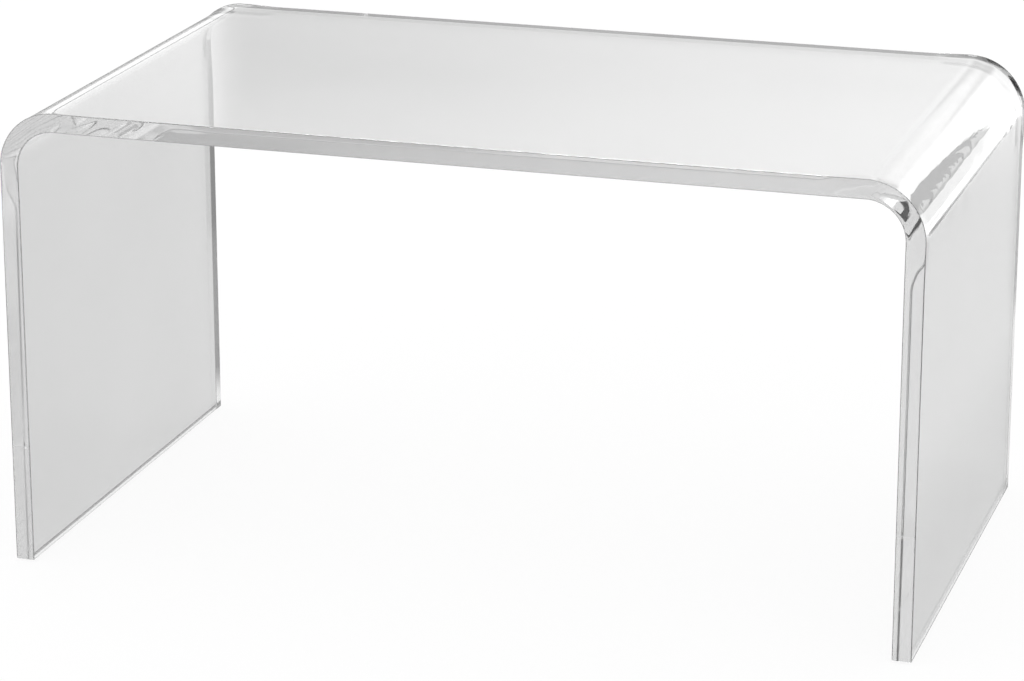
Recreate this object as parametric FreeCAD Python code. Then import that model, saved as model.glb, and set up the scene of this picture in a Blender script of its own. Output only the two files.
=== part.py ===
"""Clear acrylic waterfall table, in millimetres.

One thick cast sheet is heated along two lines and bent into an inverted U, so the top and both legs are a
single piece. Its two cut ends stand on four stick-on bumpers. X runs along the table, Y from front to rear
and Z up. The origin is on the floor, under the middle of the top.
"""

import FreeCAD, Part
import math
import os

# Driving dimensions of the whole table
table_length = 914.0
table_depth = 508.0
table_height = 466.0

# Driving dimensions of the sheet
sheet_thickness = 19.0
inside_bend_radius = 38.0
edge_arris = 0.8

# Driving dimensions of the bumpers
bumper_diameter = 12.0
bumper_height = 2.0
bumper_rim_radius = 0.8
bumper_setback = 45.0

# Places that follow from them
half_length = table_length / 2
half_depth = table_depth / 2
outside_bend_radius = inside_bend_radius + sheet_thickness
foot_level = bumper_height
leg_centre = half_length - sheet_thickness / 2
bumper_row = half_depth - bumper_setback

UP = FreeCAD.Vector(0, 0, 1)
REARWARD = FreeCAD.Vector(0, 1, 0)
SAME_PLACE = 1e-4


def on_front(x, z):
    """A point in the plane of the sheet's front edge."""
    return FreeCAD.Vector(x, -half_depth, z)


def arch(half_width, crown, bend_radius):
    """Edges of an inverted U, from the right foot over the top to the left foot."""
    shoulder = crown - bend_radius
    straight = half_width - bend_radius
    slant = bend_radius * math.sqrt(0.5)

    def leg(side):
        return Part.LineSegment(on_front(side * half_width, foot_level), on_front(side * half_width, shoulder))

    def bend(side):
        return Part.Arc(
            on_front(side * half_width, shoulder),
            on_front(side * (straight + slant), shoulder + slant),
            on_front(side * straight, crown),
        )

    top = Part.LineSegment(on_front(straight, crown), on_front(-straight, crown))
    return [piece.toShape() for piece in (leg(1), bend(1), top, bend(-1), leg(-1))]


def cut_end(side):
    """The square-cut end of one leg, across the sheet's thickness."""
    outer = on_front(side * half_length, foot_level)
    inner = on_front(side * (half_length - sheet_thickness), foot_level)
    return Part.LineSegment(outer, inner).toShape()


def is_sawn_edge(edge):
    """True for edges left by cutting the sheet, and false for the seams where a bend runs into a flat."""
    box = edge.BoundBox
    across_an_end = box.YLength < SAME_PLACE
    along_a_foot = box.ZMax < foot_level + SAME_PLACE
    return across_an_end or along_a_foot


def bent_acrylic_sheet():
    """Top, bends and legs in one, with every sawn edge broken by a small arris."""
    outside = arch(half_length, table_height, outside_bend_radius)
    inside = arch(half_length - sheet_thickness, table_height - sheet_thickness, inside_bend_radius)
    outline = Part.Wire(Part.__sortEdges__(outside + [cut_end(-1)] + inside + [cut_end(1)]))
    blank = Part.Face(outline).extrude(REARWARD * table_depth)
    return blank.makeChamfer(edge_arris, [edge for edge in blank.Edges if is_sawn_edge(edge)])


def bumper(side, end):
    """A round bumper: its flat face sticks to the leg's cut end and its rounded rim stands on the floor."""
    radius = bumper_diameter / 2
    rim = bumper_rim_radius
    slant = rim * math.sqrt(0.5)
    axis_top = FreeCAD.Vector(0, 0, bumper_height)
    stuck_edge = FreeCAD.Vector(radius, 0, bumper_height)
    rim_start = FreeCAD.Vector(radius, 0, rim)
    rim_middle = FreeCAD.Vector(radius - rim + slant, 0, rim - slant)
    rim_end = FreeCAD.Vector(radius - rim, 0, 0)
    axis_foot = FreeCAD.Vector(0, 0, 0)
    section = Part.Wire(
        [
            Part.LineSegment(axis_top, stuck_edge).toShape(),
            Part.LineSegment(stuck_edge, rim_start).toShape(),
            Part.Arc(rim_start, rim_middle, rim_end).toShape(),
            Part.LineSegment(rim_end, axis_foot).toShape(),
            Part.LineSegment(axis_foot, axis_top).toShape(),
        ]
    )
    pad = Part.Face(section).revolve(axis_foot, UP, 360)
    pad.translate(FreeCAD.Vector(side * leg_centre, end * bumper_row, 0))
    return pad


def pieces():
    """Every piece of the table by its name."""
    made = {"bent_acrylic_sheet": bent_acrylic_sheet()}
    for side_name, side in (("left", -1), ("right", 1)):
        for end_name, end in (("front", -1), ("rear", 1)):
            made[f"{side_name}_{end_name}_bumper"] = bumper(side, end)
    return made


os.makedirs("parts", exist_ok=True)
for name, shape in pieces().items():
    shape.exportStep(f"parts/{name}.step")
    print(f"{name}: {shape.Volume / 1000:.2f} cm3, valid {shape.isValid()}, solids {len(shape.Solids)}")
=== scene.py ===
import math
from typing import NamedTuple

import bmesh
import bpy
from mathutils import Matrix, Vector, noise


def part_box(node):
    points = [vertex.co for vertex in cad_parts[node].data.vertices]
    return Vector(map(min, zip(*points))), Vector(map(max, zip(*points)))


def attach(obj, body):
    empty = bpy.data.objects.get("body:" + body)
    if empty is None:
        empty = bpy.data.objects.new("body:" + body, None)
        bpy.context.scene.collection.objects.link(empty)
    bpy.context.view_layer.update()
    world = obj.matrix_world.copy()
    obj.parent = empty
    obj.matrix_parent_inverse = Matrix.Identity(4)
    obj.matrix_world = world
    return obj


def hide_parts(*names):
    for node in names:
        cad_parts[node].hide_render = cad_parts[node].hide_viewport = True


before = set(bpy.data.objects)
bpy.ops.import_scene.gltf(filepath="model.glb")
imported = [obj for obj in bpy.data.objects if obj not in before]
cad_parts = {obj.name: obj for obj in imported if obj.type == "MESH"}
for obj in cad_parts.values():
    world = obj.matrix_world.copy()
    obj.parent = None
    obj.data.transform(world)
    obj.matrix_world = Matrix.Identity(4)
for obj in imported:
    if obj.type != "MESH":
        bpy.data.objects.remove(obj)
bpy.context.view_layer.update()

# Sheet, in metres
sheet_low, sheet_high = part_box("bent_acrylic_sheet")
half_length = (sheet_high.x - sheet_low.x) / 2
half_depth = (sheet_high.y - sheet_low.y) / 2
foot_level = sheet_low.z
top_level = sheet_high.z
sheet_thickness = 0.019
inside_bend_radius = 0.038
front_round = 0.0009
rear_round = 0.0010
foot_round = 0.0002
# Height of a band round the outside of each foot that takes the arrises' painted contact shadow
foot_shade_band = 0.0015
least_round = 0.0001

# Places that follow from them
half_sheet = sheet_thickness / 2
bend_radius = inside_bend_radius + half_sheet
bend_x = half_length - half_sheet - bend_radius
bend_z = top_level - half_sheet - bend_radius

# Marks that bending leaves: ripples in the faces, and edges that draw in outside the bend and swell inside it
mark_reach = 0.045
face_ripple = 0.00003
face_ripple_pitch = 0.040
edge_ripple = 0.00025
edge_ripple_pitch = 0.016
ripple_shift = 5.0
edge_draw = 0.0013
edge_swell = 0.0004
front_flare = 0.0003
rear_flare = 0.0016
flare_reach = 0.020

# How finely the sheet is divided
bend_steps = 90
depth_steps = 72
edge_steps = 14
round_steps = 4
near_bend_step = 0.0015
far_step = 0.05

# Bumpers
bumper_steps = 48
bumper_rim = 0.0008
bumper_rim_steps = 6
bumper_lip = 0.0003

# Clear plastics
acrylic_index = 1.49
urethane_index = 1.5

# Cast faces: a faint grey cast with clouds in it, smudges that dull the gloss, and slow waves from casting
face_grey = 0.57
face_cloud = 0.04
face_cloud_pitch = 0.16
face_smudge = 0.03
face_smudge_pitch = 0.05
face_wave = 0.00002
face_wave_pitch = 0.09

# Polished edges: greyer than the faces, with a little haze
edge_grey = 0.435
edge_cloud = 0.04
edge_haze = 0.004
edge_haze_pitch = 0.03

# Arrises: strokes of fine paper on a dark grey that is painted shade for the edges' dark lines, clearer where
# buffed, with more painted shade: a contact shadow at the feet, darker down the right leg, and nearly black
# behind it and down the left leg's front outside
arris_shade_grey = 0.14
arris_stroke = 0.08
arris_stroke_pitch = 0.0015
arris_stroke_stretch = (8.0, 8.0, 1.0)
arris_dull = 0.03
arris_stroke_dull = 0.03
buffed_clearer = 0.40
# Painted contact shadow at the feet
contact_shade_darker = 0.11
# Painted shade down the right leg
right_leg_shade_darker = 0.10
# Painted shade that makes some arrises nearly black
line_shade_share = 0.95

# The two places between which each of these begins or ends
top_start = (0.38, 0.42)
buffed_start = (0.20, 0.25)
# Where the painted contact shadow at the feet ends
contact_shade_end = (0.004, 0.006)
right_leg_start = (0.3, 0.4)
rear_start = (-0.1, 0.1)
left_outside_end = (half_sheet - half_length, sheet_thickness - half_length)
# Where the painted shade down the left leg's front outside ends
left_line_shade_end = (0.30, 0.36)

# Bumper urethane: slightly cloudy
urethane_grey = 0.78
urethane_cloud = 0.06
urethane_cloud_pitch = 0.002
urethane_dull = 0.10
urethane_cloud_dull = 0.04
urethane_clearness = 0.9

# Floor
floor_reach = 15.0
floor_drop = 0.0002
floor_glow = 1.02
floor_glow_share = 0.90
floor_paint = 0.9

# Dark card behind the table on the right, with torn edges and a paler lower border
card_left = 0.795
card_right = 1.20
card_low = 0.41
card_high = 0.75
card_back = 1.18
card_dark = 0.01
card_pale = 0.95
card_border = 0.50
card_border_soft = 0.005
card_border_tear = 0.35
card_tear = 0.014
card_tear_pitch = 0.010
card_tear_lean = 0.15
card_tear_detail = 2.0
card_steps = 400
noise_middle = 0.5

# Camera
picture_wide = 1024
sensor_wide = 36.0
camera_focal_pixels = 3734
camera_place = Vector((1.0694, -3.4567, 1.3520))
camera_bearing = math.radians(17.41)
camera_dip = math.radians(17.69)

# Light paths: rays cross the sheet's edges after many inner reflections
inner_reflections = 128


class Patch(NamedTuple):
    """What a patch adds to a level, and the two places between which each of its sides fades.

    None means that it has no side there."""

    adds: float
    left: tuple = None
    right: tuple = None
    low: tuple = None
    high: tuple = None


# What the sheet's gloss shows of the room, by bearing from straight behind and by height, in degrees
gloss_wall = 1.15
gloss_patches = [
    # The half of the room behind the table
    Patch(-0.15, left=(-110, -70), right=(70, 110)),
    # Grey low wall left of the middle
    Patch(-0.22, left=(-22, -21.5), right=(0, 8), high=(13.4, 14.8)),
    # Left wall: pale, dark near the floor, with a dark batten across it
    Patch(0.65, left=(-110, -70), right=(-22.4, -21.8), low=(0, 7)),
    Patch(-0.50, left=(-110, -70), right=(-22.4, -21.8), high=(0, 7)),
    Patch(-1.40, left=(-110, -70), right=(-22.4, -21.8), low=(10.2, 10.6), high=(11.4, 11.8)),
    # White screen behind the table: brighter on the right, greyer low in the middle
    Patch(0.62, left=(-26, -8), right=(24, 36), high=(19, 25)),
    Patch(0.73, left=(5, 9), right=(24, 36), high=(19, 25)),
    Patch(-0.55, left=(-8, -5), right=(5, 9), high=(16.4, 17.2)),
    # Upper walls, pale on the left and dark on the right
    Patch(0.60, left=(-110, -70), right=(-4, 2), low=(17, 24), high=(45, 60)),
    Patch(-0.95, left=(2, 6), right=(60, 80), low=(22, 26), high=(50, 58)),
    # Strip lamp high on the left
    Patch(34.0, left=(-34, -30), right=(-15, -12), low=(41, 45), high=(58, 62)),
]

# What rays mirrored inside the sheet show of the room, in the same way
inner_wall = 0.55
inner_patches = [
    # The half of the room behind the table
    Patch(0.85, left=(-110, -70), right=(70, 110)),
    # White boxes behind the table, a low one and a high one
    Patch(0.95, left=(-9, -3), right=(12, 16), low=(5, 8), high=(14.5, 16)),
    Patch(1.40, left=(-8, 0), right=(20, 22), low=(12, 14), high=(19.0, 20.5)),
    # Walls, greyer on the left and paler in the middle and on the right
    Patch(-0.42, left=(-110, -70), right=(-25, -13), high=(18.0, 19.0)),
    Patch(0.10, left=(-15, -9), right=(70, 110), high=(16.3, 17.5)),
    # Dark right wall, with its upper part only far to the right
    Patch(-1.36, left=(20, 22), right=(70, 110), high=(12, 14)),
    Patch(-1.20, left=(62, 68), right=(70, 110), low=(12, 14)),
    # Pale band above the high box
    Patch(0.15, left=(-16, -14), right=(14, 16), low=(20, 21), high=(24, 26)),
]

# The floor's glow in the sheet's gloss, with painted patches of light and shade on it, by X and Y in metres
gloss_floor_patches = [
    # Right of the middle: grey beside the table and white far behind it
    Patch(-0.24, left=(0.35, 0.55), high=(1.3, 1.8)),
    Patch(0.70, left=(0.5, 0.9), low=(1.6, 2.2)),
    Patch(1.20, left=(0.8, 0.9), right=(1.3, 1.5), low=(1.5, 1.7), high=(2.6, 3.0)),
    Patch(0.65, left=(0.9, 1.2), low=(2.2, 2.8)),
    # Dark far left
    Patch(-0.65, right=(-1.6, -1.0)),
    # Grey strip along the right leg
    Patch(-0.22, left=(0.40, 0.45), right=(0.48, 0.58), high=(0.9, 1.2)),
]

# The floor's glow as rays mirrored inside the sheet show it, with painted patches of light and shade, in the
# same way
inner_floor = 1.50
inner_floor_patches = [
    # Left rear: grey close to the leg, pale further off, and grey again far away
    Patch(-0.12, right=(-0.46, -0.45), low=(0.24, 0.25), high=(0.65, 0.80)),
    Patch(0.30, right=(-0.8, -0.6), low=(1.05, 1.2), high=(1.5, 1.6)),
    Patch(-0.42, right=(-0.70, -0.45), low=(1.62, 1.72), high=(2.4, 2.6)),
    # Right rear: pale behind the top and dark beyond the leg
    Patch(0.12, left=(0.1, 0.2), right=(0.68, 0.72), low=(0.28, 0.35), high=(1.3, 1.5)),
    Patch(-1.30, left=(0.72, 0.82), low=(0.3, 0.5), high=(1.2, 1.4)),
    # Dark left of the table, and dark in front of it
    Patch(-1.32, left=(-1.3, -1.2), right=(-0.46, -0.45), low=(-1.85, -1.75), high=(0.10, 0.24)),
    Patch(-1.50, left=(-0.46, -0.45), right=(0.45, 0.55), low=(-1.85, -1.75), high=(-0.50, -0.30)),
]

# Shade behind the right leg for the same rays, with X counted from a line that slants outwards to the rear
shade_slant = 0.33
inner_shade_patches = [
    Patch(-1.45, left=(0.25, 0.32), low=(1.2, 1.5)),
]


class Wire:
    """A value in a node tree. Arithmetic on it adds Math nodes."""

    def __init__(self, finish, socket):
        self.finish = finish
        self.socket = socket

    def __getitem__(self, output):
        """Another output of the node that this value comes from."""
        return Wire(self.finish, self.socket.node.outputs[output])

    def _maths(self, operation, *values):
        return self.finish.add("ShaderNodeMath", {"operation": operation}, dict(enumerate(values)))

    def __add__(self, other):
        return self._maths("ADD", self, other)

    def __radd__(self, other):
        return self._maths("ADD", other, self)

    def __sub__(self, other):
        return self._maths("SUBTRACT", self, other)

    def __rsub__(self, other):
        return self._maths("SUBTRACT", other, self)

    def __mul__(self, other):
        return self._maths("MULTIPLY", self, other)

    def __rmul__(self, other):
        return self._maths("MULTIPLY", other, self)

    def rising(self, low, high):
        """0 up to low, 1 from high on, and smooth between them."""
        return self.finish.add(
            "ShaderNodeMapRange",
            {"interpolation_type": "SMOOTHSTEP"},
            {"Value": self, "From Min": low, "From Max": high},
        )


class Finish:
    """A node tree that is filled one node at a time."""

    def __init__(self, tree):
        self.tree = tree
        tree.nodes.clear()

    def add(self, kind, settings=None, sockets=None, output=0):
        """Adds a node, sets it up, then sets or links its sockets. Returns the output asked for."""
        node = self.tree.nodes.new(kind)
        for name, value in (settings or {}).items():
            setattr(node, name, value)
        for name, value in (sockets or {}).items():
            if isinstance(value, Wire):
                self.tree.links.new(value.socket, node.inputs[name])
            else:
                node.inputs[name].default_value = value
        return Wire(self, node.outputs[output]) if node.outputs else None

    def place(self):
        """The place on the piece in metres, with its outputs X, Y and Z."""
        return self.add("ShaderNodeSeparateXYZ", None, {0: self.add("ShaderNodeTexCoord", output="Object")})

    def grain(self, pitch, detail=0.0, stretch=(1.0, 1.0, 1.0)):
        """Noise from 0 to 1 with about this pitch in metres, longer along an axis with a stretch above 1."""
        place = self.add("ShaderNodeTexCoord", output="Object")
        scale = [1 / (pitch * longer) for longer in stretch]
        place = self.add("ShaderNodeMapping", None, {"Vector": place, "Scale": scale})
        return self.add("ShaderNodeTexNoise", None, {"Vector": place, "Scale": 1.0, "Detail": detail})

    def grey(self, level):
        """A neutral colour from a value that changes over the surface."""
        return self.add("ShaderNodeCombineColor", None, {"Red": level, "Green": level, "Blue": level})

    def ray_kinds(self):
        """Four values that are 1 for one kind of ray and 0 for the rest.

        They are for rays straight from the eye, mirrored ones, those through a clear piece and, among these,
        those that were also mirrored inside it."""
        path = self.add("ShaderNodeLightPath")
        through = path["Is Transmission Ray"]
        inside = through * path["Glossy Depth"].rising(0, 1)
        return path["Is Camera Ray"], path["Is Glossy Ray"] * (1 - through), through, inside

    def patched(self, base, patches, across, up):
        """A base level with patches of light or shade, placed by two values that vary over the surface."""
        level = base
        for patch in patches:
            shape = patch.adds
            for value, start, end in ((across, patch.left, patch.right), (up, patch.low, patch.high)):
                if start:
                    shape = value.rising(*start) * shape
                if end:
                    shape = (1 - value.rising(*end)) * shape
            level = shape + level
        return level

    def surface(self, shader):
        """Makes the shader the material's surface."""
        self.add("ShaderNodeOutputMaterial", None, {"Surface": shader})


def new_finish(name):
    """A new material, and its empty node tree to fill."""
    material = bpy.data.materials.new(name)
    material.use_nodes = True
    return material, Finish(material.node_tree)


def even_grey(level):
    """A neutral colour that is the same all over."""
    return (level, level, level, 1.0)


def cast_face_finish():
    """The sheet's own cast faces: clear and mirror smooth, with a faint grey cast."""
    material, finish = new_finish("cast_acrylic_face")
    cloud = finish.grain(face_cloud_pitch, detail=1.0)
    smudge = finish.grain(face_smudge_pitch, detail=3.0)
    cast_wave = finish.grain(face_wave_pitch)
    waves = finish.add("ShaderNodeBump", None, {"Strength": 1.0, "Distance": face_wave, "Height": cast_wave})
    shader = finish.add(
        "ShaderNodeBsdfPrincipled",
        None,
        {
            "Base Color": finish.grey(face_grey + face_cloud * cloud),
            "Roughness": face_smudge * smudge,
            "IOR": acrylic_index,
            "Transmission Weight": 1.0,
            "Normal": waves,
        },
    )
    finish.surface(shader)
    return material


def polished_edge_finish():
    """The sawn and polished edges, greyer than the faces."""
    material, finish = new_finish("polished_acrylic_edge")
    haze = finish.grain(edge_haze_pitch, detail=2.0)
    shader = finish.add(
        "ShaderNodeBsdfPrincipled",
        None,
        {
            "Base Color": finish.grey(edge_grey + edge_cloud * haze),
            "Roughness": edge_haze * haze,
            "IOR": acrylic_index,
            "Transmission Weight": 1.0,
        },
    )
    finish.surface(shader)
    return material


def arris_finish():
    """The arrises: broken by hand and buffed behind the top, with painted shade: a contact shadow at the
    feet, and darker down the right leg.

    Painted shade makes the arrises behind the right leg and down the outside of the left one's front nearly
    black."""
    material, finish = new_finish("broken_acrylic_arris")
    strokes = finish.grain(arris_stroke_pitch, detail=2.0, stretch=arris_stroke_stretch)
    place = finish.place()
    at_top = place["Z"].rising(*top_start)
    at_rear = place["Y"].rising(*rear_start)
    buffed = at_top * place["Y"].rising(*buffed_start)
    # Painted contact shadow along the bottom of the feet
    contact_shade = 1 - place["Z"].rising(*contact_shade_end)
    # Painted shade down the right leg
    right_leg_shade = place["X"].rising(*right_leg_start) * (1 - at_top) * (1 - contact_shade)
    # Painted shade, nearly black, behind the right leg and down the left leg's front outside
    on_left_outside = (1 - place["X"].rising(*left_outside_end)) * (1 - at_rear)
    left_line_shade = on_left_outside * (1 - contact_shade) * (1 - place["Z"].rising(*left_line_shade_end))
    line_shade = right_leg_shade * at_rear + left_line_shade
    # A dark grey of painted shade for the edges' dark lines, with paper strokes, clearer where buffed
    level = arris_shade_grey + arris_stroke * strokes + buffed_clearer * buffed
    # Painted shade: a contact shadow at the feet, and darker down the right leg
    level = level - contact_shade_darker * contact_shade - right_leg_shade_darker * right_leg_shade
    # The Base Color takes that nearly black painted shade
    shader = finish.add(
        "ShaderNodeBsdfPrincipled",
        None,
        {
            "Base Color": finish.grey(level * (1 - line_shade_share * line_shade)),
            "Roughness": arris_dull + arris_stroke_dull * strokes,
            "IOR": acrylic_index,
            "Transmission Weight": 1.0,
        },
    )
    finish.surface(shader)
    return material


def bumper_finish():
    """Clear moulded polyurethane."""
    material, finish = new_finish("clear_bumper_urethane")
    cloud = finish.grain(urethane_cloud_pitch, detail=2.0)
    shader = finish.add(
        "ShaderNodeBsdfPrincipled",
        None,
        {
            "Base Color": finish.grey(urethane_grey + urethane_cloud * cloud),
            "Roughness": urethane_dull + urethane_cloud_dull * cloud,
            "IOR": urethane_index,
            "Transmission Weight": urethane_clearness,
        },
    )
    finish.surface(shader)
    return material


class Station(NamedTuple):
    """A place on the sheet's middle line, the way out of the U there, and how far the nearest bend is."""

    centre: Vector
    outward: Vector
    from_bend: float


def flat_run(length):
    """Distances from a bend along a flat of this length, close together within reach of the bend's marks."""
    near_count = math.ceil(mark_reach / near_bend_step)
    far_count = math.ceil((length - mark_reach) / far_step)
    near = [mark_reach * i / near_count for i in range(near_count)]
    far = [mark_reach + (length - mark_reach) * i / far_count for i in range(far_count + 1)]
    return near + far


def right_half():
    """Stations from the middle of the top to the end of the right leg."""
    up = Vector((0, 0, 1))
    right = Vector((1, 0, 0))
    made = []
    for distance in reversed(flat_run(bend_x)):
        made.append(Station(Vector((bend_x - distance, 0, bend_z)) + bend_radius * up, up, distance))
    for step in range(1, bend_steps):
        turn = math.pi / 2 * step / bend_steps
        outward = Vector((math.sin(turn), 0, math.cos(turn)))
        made.append(Station(Vector((bend_x, 0, bend_z)) + bend_radius * outward, outward, 0.0))
    leg = bend_z - foot_level - foot_round
    for distance in flat_run(leg - foot_shade_band) + [leg]:
        made.append(Station(Vector((bend_x, 0, bend_z - distance)) + bend_radius * right, right, distance))
    return made


def opposite(station):
    """The station at the same place on the other half of the table."""
    flip = Vector((-1, 1, 1))
    return Station(station.centre * flip, station.outward * flip, station.from_bend)


def stations():
    """Stations over the whole sheet, left foot to right foot."""
    right = right_half()
    return [opposite(station) for station in reversed(right[1:])] + right


def round_at(along):
    """Radius of the arrises at the front or at the rear."""
    return rear_round if along > 0 else front_round


def section(inset=0.0):
    """The sheet's cut section as (across, along, zone) points, each with the zone of the stretch after it."""
    quarter = math.pi / 2
    corners = 4
    points = []

    def on_corner(index, share):
        """A point on one of the rounded corners, this share of the way round it."""
        turn = quarter * (index + share)
        side_across = 1 if index % corners in (0, 3) else -1
        side_along = 1 if index % corners in (0, 1) else -1
        radius = max(round_at(side_along) - inset, least_round)
        across = side_across * (half_sheet - inset - radius)
        along = side_along * (half_depth - inset - radius)
        return Vector((across + radius * math.cos(turn), along + radius * math.sin(turn)))

    for index in range(corners):
        for step in range(round_steps):
            points.append((*on_corner(index, step / round_steps), "arris"))
        start = on_corner(index, 1.0)
        end = on_corner(index + 1, 0.0)
        zone, steps = ("edge", edge_steps) if index % 2 == 0 else ("face", depth_steps)
        for step in range(steps):
            share = (1 - math.cos(math.pi * step / steps)) / 2
            points.append((*start.lerp(end, share), zone))
    return points


def fade(distance):
    """1 at a bend, falling smoothly to 0 at the end of its marks' reach."""
    share = max(0.0, 1.0 - distance / mark_reach)
    return share * share * (3 - 2 * share)


def with_heat_marks(point, station, across, along):
    """The point moved as heating and bending move it."""
    near = fade(station.from_bend)
    if near == 0.0:
        return point
    side = math.copysign(1.0, across)
    end = math.copysign(1.0, along)
    flare = rear_flare if along > 0 else front_flare
    curl = max(0.0, 1.0 - (half_depth - abs(along)) / flare_reach)
    moved = point + station.outward * (near * flare * curl * curl)
    if abs(along) > half_depth - round_at(along):
        outside_share = (across / half_sheet + 1) / 2
        wave = noise.noise(point / edge_ripple_pitch + Vector((0, 0, ripple_shift * end)))
        moved.y += end * near * (edge_swell - (edge_swell + edge_draw) * outside_share + edge_ripple * wave)
    else:
        wave = noise.noise(point / face_ripple_pitch + Vector((ripple_shift * side, 0, 0)))
        moved += station.outward * (side * near * face_ripple * wave)
    return moved


def bent_sheet():
    """The sheet: its section swept along the inverted U, with its feet rounded and closed."""
    build = bmesh.new()
    zone_order = ["face", "edge", "arris"]
    zones = [zone for across, along, zone in section()]
    # At the feet the outside face takes the arris finish, and with it the painted contact shadow
    foot_zones = ["arris" if zone == "face" and across > 0 else "edge" for across, along, zone in section()]
    count = len(zones)

    def ring(station, inset=0.0):
        """The section's points as corners of the mesh, at a station."""
        made = []
        for across, along, zone in section(inset):
            point = station.centre + station.outward * across + Vector((0, along, 0))
            made.append(build.verts.new(with_heat_marks(point, station, across, along)))
        return made

    def foot_rings(station):
        """Rings that round the foot, from the floor up."""
        made = []
        for step in range(round_steps):
            turn = math.pi / 2 * step / round_steps
            level = foot_level + foot_round * (1 - math.sin(turn))
            centre = Vector((station.centre.x, 0, level))
            made.append(ring(station._replace(centre=centre), foot_round * (1 - math.cos(turn))))
        return list(reversed(made))

    def skin(rings, ring_zones):
        """Faces between neighbouring rings, each in the zone that its place on the ring has."""
        for before, after in zip(rings, rings[1:]):
            for i in range(count):
                j = (i + 1) % count
                face = build.faces.new((before[i], after[i], after[j], before[j]))
                face.smooth = True
                face.material_index = zone_order.index(ring_zones[i])
            for i in range(count):
                if zones[i] != zones[i - 1]:
                    build.edges.get((before[i], after[i])).smooth = False

    places = stations()
    body = [ring(place) for place in places]
    left_foot = foot_rings(places[0])[:-1]
    right_foot = foot_rings(places[-1])[-2::-1]
    skin(left_foot + body[:2], foot_zones)
    skin(body[1:-1], zones)
    skin(body[-2:] + right_foot, foot_zones)
    for top_of_foot in (body[0], body[-1]):
        for i in range(count):
            build.edges.get((top_of_foot[i - 1], top_of_foot[i])).smooth = False
    for cap in (left_foot[0], list(reversed(right_foot[-1]))):
        build.faces.new(cap).material_index = zone_order.index("edge")
    return as_piece("acrylic_sheet", build, [cast_face_finish(), polished_edge_finish(), arris_finish()])


def as_piece(name, build, materials):
    """Turns finished mesh work into an object of the scene."""
    mesh = bpy.data.meshes.new(name)
    build.to_mesh(mesh)
    build.free()
    for material in materials:
        mesh.materials.append(material)
    piece = bpy.data.objects.new(name, mesh)
    bpy.context.collection.objects.link(piece)
    return piece


def bumper(node, material):
    """One bumper, turned about its own axis."""
    low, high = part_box(node)
    centre = (low + high) / 2
    radius = (high.x - low.x) / 2
    profile = [(radius - bumper_lip, high.z), (radius, high.z - bumper_lip)]
    for step in range(bumper_rim_steps + 1):
        turn = math.pi / 2 * step / bumper_rim_steps
        out = radius - bumper_rim * (1 - math.cos(turn))
        profile.append((out, low.z + bumper_rim * (1 - math.sin(turn))))
    build = bmesh.new()
    rows = []
    for out, level in profile:
        row = []
        for step in range(bumper_steps):
            turn = 2 * math.pi * step / bumper_steps
            across = centre.x + out * math.cos(turn)
            along = centre.y + out * math.sin(turn)
            row.append(build.verts.new((across, along, level)))
        rows.append(row)
    for upper, lower in zip(rows, rows[1:]):
        for i in range(bumper_steps):
            j = (i + 1) % bumper_steps
            build.faces.new((upper[i], lower[i], lower[j], upper[j])).smooth = True
    build.faces.new(rows[0])
    build.faces.new(list(reversed(rows[-1])))
    bmesh.ops.recalc_face_normals(build, faces=build.faces)
    return as_piece(node + "_pad", build, [material])


def floor():
    """A pale floor that mostly glows, white to the eye, that still takes the table's shadow; in the sheet it
    shows painted patches of light and shade.
    """
    material, finish = new_finish("pale_floor")
    straight, gloss, through, inside = finish.ray_kinds()
    place = finish.place()
    in_gloss = finish.patched(1.0, gloss_floor_patches, place["X"], place["Y"])
    from_inside = finish.patched(inner_floor, inner_floor_patches, place["X"], place["Y"])
    across = place["X"] - shade_slant * place["Y"]
    from_inside = finish.patched(from_inside, inner_shade_patches, across, place["Y"])
    # Painted light and shade on the floor's glow, seen only by mirrored rays and by rays mirrored inside the
    # sheet
    level = 1 + gloss * (in_gloss - 1) + inside * (from_inside - 1)
    paint = finish.add("ShaderNodeBsdfDiffuse", None, {"Color": even_grey(floor_paint)})
    glow = finish.add("ShaderNodeEmission", None, {"Color": finish.grey(floor_glow * level), "Strength": 1.0})
    seen = (straight + gloss + through) * floor_glow_share
    finish.surface(finish.add("ShaderNodeMixShader", None, {0: seen, 1: paint, 2: glow}))
    build = bmesh.new()
    bmesh.ops.create_grid(build, x_segments=1, y_segments=1, size=floor_reach)
    for corner in build.verts:
        corner.co.z = -floor_drop
    as_piece("floor", build, [material])


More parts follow.
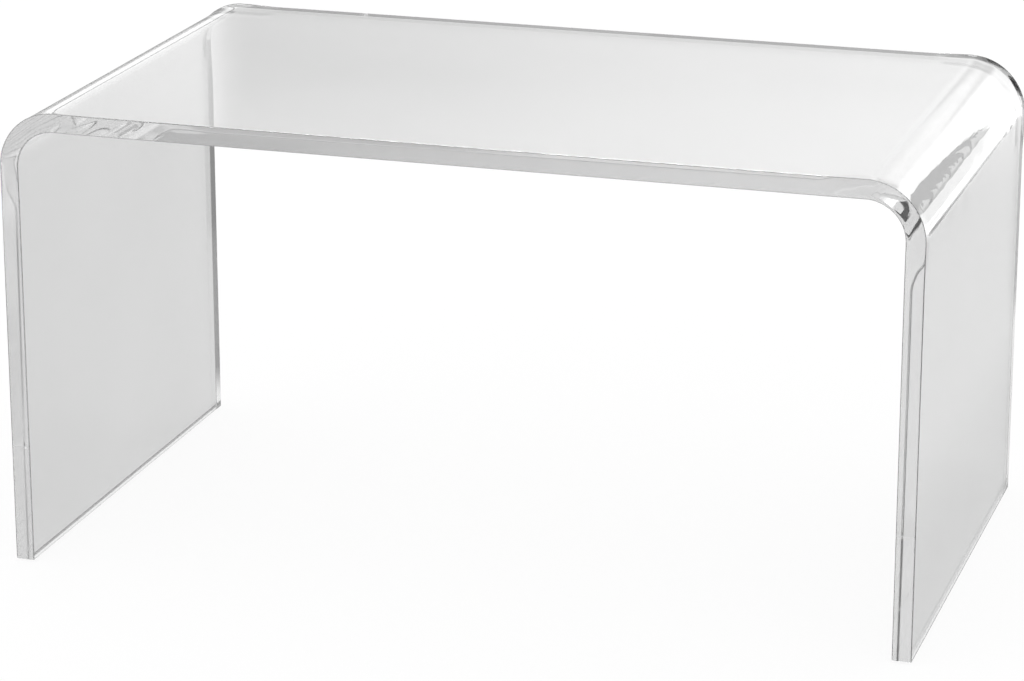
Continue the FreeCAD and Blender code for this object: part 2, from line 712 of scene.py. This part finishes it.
def dark_card():
    """The dark card, which only the sheet's gloss shows."""
    material, finish = new_finish("dark_card")
    place = finish.place()
    along = (place["X"] + card_tear_lean * place["Z"]) * (1 / card_tear_pitch)
    rough = finish.add(
        "ShaderNodeTexNoise",
        {"noise_dimensions": "1D"},
        {"W": along, "Scale": 1.0, "Detail": card_tear_detail},
    )
    torn = place["Z"] + card_border_tear * (rough - noise_middle)
    border = 1 - torn.rising(card_border - card_border_soft, card_border + card_border_soft)
    shade = finish.grey(card_dark + card_pale * border)
    matt = {"Base Color": shade, "Roughness": 1.0, "Specular IOR Level": 0.0}
    finish.surface(finish.add("ShaderNodeBsdfPrincipled", None, matt))
    outline = [(card_right, card_back, card_low), (card_right, card_back, card_high)]
    for step in range(card_steps + 1):
        level = card_high + (card_low - card_high) * step / card_steps
        tear = card_tear * noise.noise(Vector((0, 0, level / card_tear_pitch)))
        outline.append((card_left + tear, card_back, level))
    for step in range(1, card_steps):
        across = card_left + (card_right - card_left) * step / card_steps
        tear = card_tear * noise.noise(Vector((across / card_tear_pitch, 0, 0)))
        outline.append((across, card_back, card_low + tear))
    build = bmesh.new()
    build.faces.new([build.verts.new(corner) for corner in outline])
    card = as_piece("dark_card", build, [material])
    card.visible_camera = False
    card.visible_diffuse = False
    card.visible_transmission = False
    card.visible_shadow = False


def studio():
    """A pale room, white to the eye, with lamps and dark walls that show in the sheet."""
    world = bpy.data.worlds.new("studio")
    world.use_nodes = True
    bpy.context.scene.world = world
    finish = Finish(world.node_tree)
    way = finish.add("ShaderNodeSeparateXYZ", None, {0: finish.add("ShaderNodeTexCoord", output="Generated")})
    degrees = 180 / math.pi
    bearing = finish.add("ShaderNodeMath", {"operation": "ARCTAN2"}, {0: way["X"], 1: way["Y"]}) * degrees
    height = finish.add("ShaderNodeMath", {"operation": "ARCSINE"}, {0: way["Z"]}) * degrees
    straight, gloss, through, inside = finish.ray_kinds()
    in_gloss = finish.patched(gloss_wall, gloss_patches, bearing, height)
    from_inside = finish.patched(inner_wall, inner_patches, bearing, height)
    level = 1 + gloss * (in_gloss - 1) + inside * (from_inside - 1)
    back = finish.add("ShaderNodeBackground", None, {"Color": finish.grey(level), "Strength": 1.0})
    finish.add("ShaderNodeOutputWorld", None, {"Surface": back})


def camera():
    """The camera, at the photograph's viewing angle."""
    data = bpy.data.cameras.new("camera")
    data.sensor_width = sensor_wide
    data.lens = camera_focal_pixels * sensor_wide / picture_wide
    eye = bpy.data.objects.new("camera", data)
    eye.location = camera_place
    eye.rotation_euler = (math.pi / 2 - camera_dip, 0, camera_bearing)
    bpy.context.collection.objects.link(eye)
    bpy.context.scene.camera = eye


sheet = bent_sheet()
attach(sheet, "root")
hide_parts("bent_acrylic_sheet")

pad_finish = bumper_finish()
for side in ("left", "right"):
    for end in ("front", "rear"):
        node = f"{side}_{end}_bumper"
        pad = bumper(node, pad_finish)
        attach(pad, "root")
        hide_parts(node)

floor()
dark_card()
studio()
camera()
bpy.context.scene.view_settings.view_transform = "Standard"
light_paths = bpy.context.scene.cycles
light_paths.max_bounces = inner_reflections
light_paths.glossy_bounces = inner_reflections
light_paths.transmission_bounces = inner_reflections
